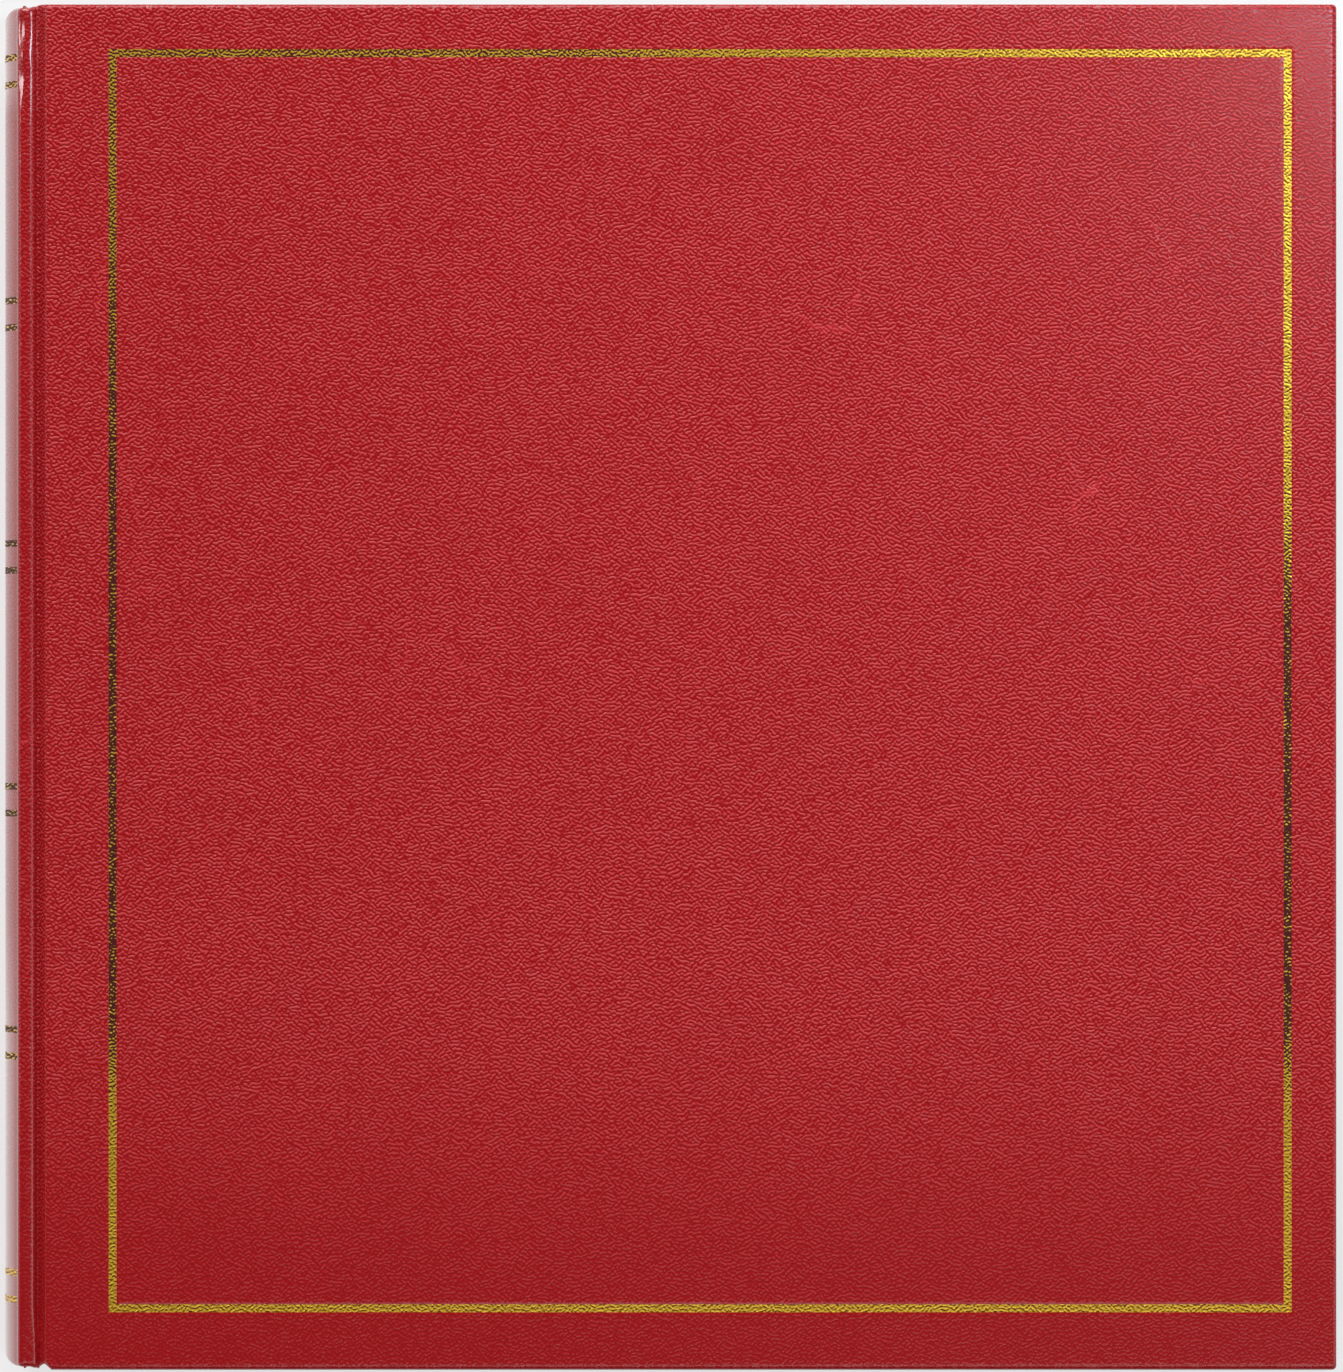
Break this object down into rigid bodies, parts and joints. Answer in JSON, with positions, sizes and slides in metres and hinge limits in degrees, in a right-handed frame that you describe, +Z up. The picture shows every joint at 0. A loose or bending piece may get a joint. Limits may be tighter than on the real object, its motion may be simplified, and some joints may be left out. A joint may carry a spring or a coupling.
{
  "type": "stamp album",
  "caption": "Nearly square case-bound stamp album in grained red leatherette with a gold frame, a rounded hollow spine and turning card leaves with clear pocket strips.",
  "frame": {"origin": "middle of the closed album's footprint, at the outer face of the back cover", "axes": "+Z up through the front cover, +Y to the head of the album, +X to the fore-edge; the spine is along -X"},
  "size_m": [0.303, 0.31, 0.0344],
  "materials": {
    "leatherette": "satin grained",
    "greyboard": "matte",
    "gold_foil": "hot foil",
    "endpaper": "matte",
    "leaf_card": "matte",
    "linen": "woven",
    "clear_film": "clear gloss",
    "glassine": "translucent",
    "spine_card": "matte",
    "spine_lining": "open weave",
    "headband_thread": "striped thread"
  },
  "bodies": {
    "back_cover": {"back_board": "greyboard", "back_leatherette": "leatherette", "back_pastedown": "endpaper"},
    "spine": {"spine_leatherette": "leatherette", "spine_card": "spine_card", "spine_gold_rules": "gold_foil", "spine_lining": "spine_lining", "headbands": "headband_thread"},
    "front_cover": {"front_board": "greyboard", "front_leatherette": "leatherette", "front_pastedown": "endpaper", "gold_frame": "gold_foil"},
    "back_flyleaf": {"back_flyleaf": "endpaper"},
    "leaf_10": {"leaf_card_10": "leaf_card", "linen_hinge_10": "linen", "pocket_strips_10": "clear_film"},
    "interleaf_09": {"interleaf_09": "glassine"},
    "leaf_09": {"leaf_card_09": "leaf_card", "linen_hinge_09": "linen", "pocket_strips_09": "clear_film"},
    "interleaf_08": {"interleaf_08": "glassine"},
    "leaf_08": {"leaf_card_08": "leaf_card", "linen_hinge_08": "linen", "pocket_strips_08": "clear_film"},
    "interleaf_07": {"interleaf_07": "glassine"},
    "leaf_07": {"leaf_card_07": "leaf_card", "linen_hinge_07": "linen", "pocket_strips_07": "clear_film"},
    "interleaf_06": {"interleaf_06": "glassine"},
    "leaf_06": {"leaf_card_06": "leaf_card", "linen_hinge_06": "linen", "pocket_strips_06": "clear_film"},
    "interleaf_05": {"interleaf_05": "glassine"},
    "leaf_05": {"leaf_card_05": "leaf_card", "linen_hinge_05": "linen", "pocket_strips_05": "clear_film"},
    "interleaf_04": {"interleaf_04": "glassine"},
    "leaf_04": {"leaf_card_04": "leaf_card", "linen_hinge_04": "linen", "pocket_strips_04": "clear_film"},
    "interleaf_03": {"interleaf_03": "glassine"},
    "leaf_03": {"leaf_card_03": "leaf_card", "linen_hinge_03": "linen", "pocket_strips_03": "clear_film"},
    "interleaf_02": {"interleaf_02": "glassine"},
    "leaf_02": {"leaf_card_02": "leaf_card", "linen_hinge_02": "linen", "pocket_strips_02": "clear_film"},
    "interleaf_01": {"interleaf_01": "glassine"},
    "leaf_01": {"leaf_card_01": "leaf_card", "linen_hinge_01": "linen", "pocket_strips_01": "clear_film"},
    "front_flyleaf": {"front_flyleaf": "endpaper"}
  },
  "joints": [
    {"name": "spine_hinge", "type": "hinge", "parent": "back_cover", "child": "spine", "pos_m": [-0.14305, 0, 0.0024], "axis": [0, -1, 0], "range_deg": [0, 90]},
    {"name": "front_cover_hinge", "type": "hinge", "parent": "spine", "child": "front_cover", "pos_m": [-0.14305, 0, 0.032], "axis": [0, -1, 0], "range_deg": [0, 90]},
    {"name": "back_flyleaf_turn", "type": "hinge", "parent": "spine", "child": "back_flyleaf", "pos_m": [-0.1419, 0, 0.00417], "axis": [0, -1, 0], "range_deg": [-76, 0]},
    {"name": "leaf_10_turn", "type": "hinge", "parent": "spine", "child": "leaf_10", "pos_m": [-0.1419, 0, 0.0055], "axis": [0, -1, 0], "range_deg": [-72.5, 0]},
    {"name": "interleaf_09_turn", "type": "hinge", "parent": "spine", "child": "interleaf_09", "pos_m": [-0.1419, 0, 0.0068], "axis": [0, -1, 0], "range_deg": [-69, 0]},
    {"name": "leaf_09_turn", "type": "hinge", "parent": "spine", "child": "leaf_09", "pos_m": [-0.1419, 0, 0.0081], "axis": [0, -1, 0], "range_deg": [-65.5, 0]},
    {"name": "interleaf_08_turn", "type": "hinge", "parent": "spine", "child": "interleaf_08", "pos_m": [-0.1419, 0, 0.0094], "axis": [0, -1, 0], "range_deg": [-62, 0]},
    {"name": "leaf_08_turn", "type": "hinge", "parent": "spine", "child": "leaf_08", "pos_m": [-0.1419, 0, 0.0107], "axis": [0, -1, 0], "range_deg": [-58.5, 0]},
    {"name": "interleaf_07_turn", "type": "hinge", "parent": "spine", "child": "interleaf_07", "pos_m": [-0.1419, 0, 0.012], "axis": [0, -1, 0], "range_deg": [-55, 0]},
    {"name": "leaf_07_turn", "type": "hinge", "parent": "spine", "child": "leaf_07", "pos_m": [-0.1419, 0, 0.0133], "axis": [0, -1, 0], "range_deg": [-51.5, 0]},
    {"name": "interleaf_06_turn", "type": "hinge", "parent": "spine", "child": "interleaf_06", "pos_m": [-0.1419, 0, 0.0146], "axis": [0, -1, 0], "range_deg": [-48, 0]},
    {"name": "leaf_06_turn", "type": "hinge", "parent": "spine", "child": "leaf_06", "pos_m": [-0.1419, 0, 0.0159], "axis": [0, -1, 0], "range_deg": [-44.5, 0]},
    {"name": "interleaf_05_turn", "type": "hinge", "parent": "spine", "child": "interleaf_05", "pos_m": [-0.1419, 0, 0.0172], "axis": [0, -1, 0], "range_deg": [0, 41]},
    {"name": "leaf_05_turn", "type": "hinge", "parent": "spine", "child": "leaf_05", "pos_m": [-0.1419, 0, 0.0185], "axis": [0, -1, 0], "range_deg": [0, 44.5]},
    {"name": "interleaf_04_turn", "type": "hinge", "parent": "spine", "child": "interleaf_04", "pos_m": [-0.1419, 0, 0.0198], "axis": [0, -1, 0], "range_deg": [0, 48]},
    {"name": "leaf_04_turn", "type": "hinge", "parent": "spine", "child": "leaf_04", "pos_m": [-0.1419, 0, 0.0211], "axis": [0, -1, 0], "range_deg": [0, 51.5]},
    {"name": "interleaf_03_turn", "type": "hinge", "parent": "spine", "child": "interleaf_03", "pos_m": [-0.1419, 0, 0.0224], "axis": [0, -1, 0], "range_deg": [0, 55]},
    {"name": "leaf_03_turn", "type": "hinge", "parent": "spine", "child": "leaf_03", "pos_m": [-0.1419, 0, 0.0237], "axis": [0, -1, 0], "range_deg": [0, 58.5]},
    {"name": "interleaf_02_turn", "type": "hinge", "parent": "spine", "child": "interleaf_02", "pos_m": [-0.1419, 0, 0.025], "axis": [0, -1, 0], "range_deg": [0, 62]},
    {"name": "leaf_02_turn", "type": "hinge", "parent": "spine", "child": "leaf_02", "pos_m": [-0.1419, 0, 0.0263], "axis": [0, -1, 0], "range_deg": [0, 65.5]},
    {"name": "interleaf_01_turn", "type": "hinge", "parent": "spine", "child": "interleaf_01", "pos_m": [-0.1419, 0, 0.0276], "axis": [0, -1, 0], "range_deg": [0, 69]},
    {"name": "leaf_01_turn", "type": "hinge", "parent": "spine", "child": "leaf_01", "pos_m": [-0.1419, 0, 0.0289], "axis": [0, -1, 0], "range_deg": [0, 72.5]},
    {"name": "front_flyleaf_turn", "type": "hinge", "parent": "spine", "child": "front_flyleaf", "pos_m": [-0.1419, 0, 0.03022], "axis": [0, -1, 0], "range_deg": [0, 76]}
  ],
  "couplings": [
    {"joint": "back_flyleaf_turn", "follows": "spine_hinge", "ratio": -0.84444},
    {"joint": "leaf_10_turn", "follows": "spine_hinge", "ratio": -0.80556},
    {"joint": "interleaf_09_turn", "follows": "spine_hinge", "ratio": -0.76667},
    {"joint": "leaf_09_turn", "follows": "spine_hinge", "ratio": -0.72778},
    {"joint": "interleaf_08_turn", "follows": "spine_hinge", "ratio": -0.68889},
    {"joint": "leaf_08_turn", "follows": "spine_hinge", "ratio": -0.65},
    {"joint": "interleaf_07_turn", "follows": "spine_hinge", "ratio": -0.61111},
    {"joint": "leaf_07_turn", "follows": "spine_hinge", "ratio": -0.57222},
    {"joint": "interleaf_06_turn", "follows": "spine_hinge", "ratio": -0.53333},
    {"joint": "leaf_06_turn", "follows": "spine_hinge", "ratio": -0.49444},
    {"joint": "interleaf_05_turn", "follows": "front_cover_hinge", "ratio": 0.45555},
    {"joint": "leaf_05_turn", "follows": "front_cover_hinge", "ratio": 0.49444},
    {"joint": "interleaf_04_turn", "follows": "front_cover_hinge", "ratio": 0.53333},
    {"joint": "leaf_04_turn", "follows": "front_cover_hinge", "ratio": 0.57222},
    {"joint": "interleaf_03_turn", "follows": "front_cover_hinge", "ratio": 0.61111},
    {"joint": "leaf_03_turn", "follows": "front_cover_hinge", "ratio": 0.65},
    {"joint": "interleaf_02_turn", "follows": "front_cover_hinge", "ratio": 0.68889},
    {"joint": "leaf_02_turn", "follows": "front_cover_hinge", "ratio": 0.72778},
    {"joint": "interleaf_01_turn", "follows": "front_cover_hinge", "ratio": 0.76667},
    {"joint": "leaf_01_turn", "follows": "front_cover_hinge", "ratio": 0.80556},
    {"joint": "front_flyleaf_turn", "follows": "front_cover_hinge", "ratio": 0.84444}
  ]
}
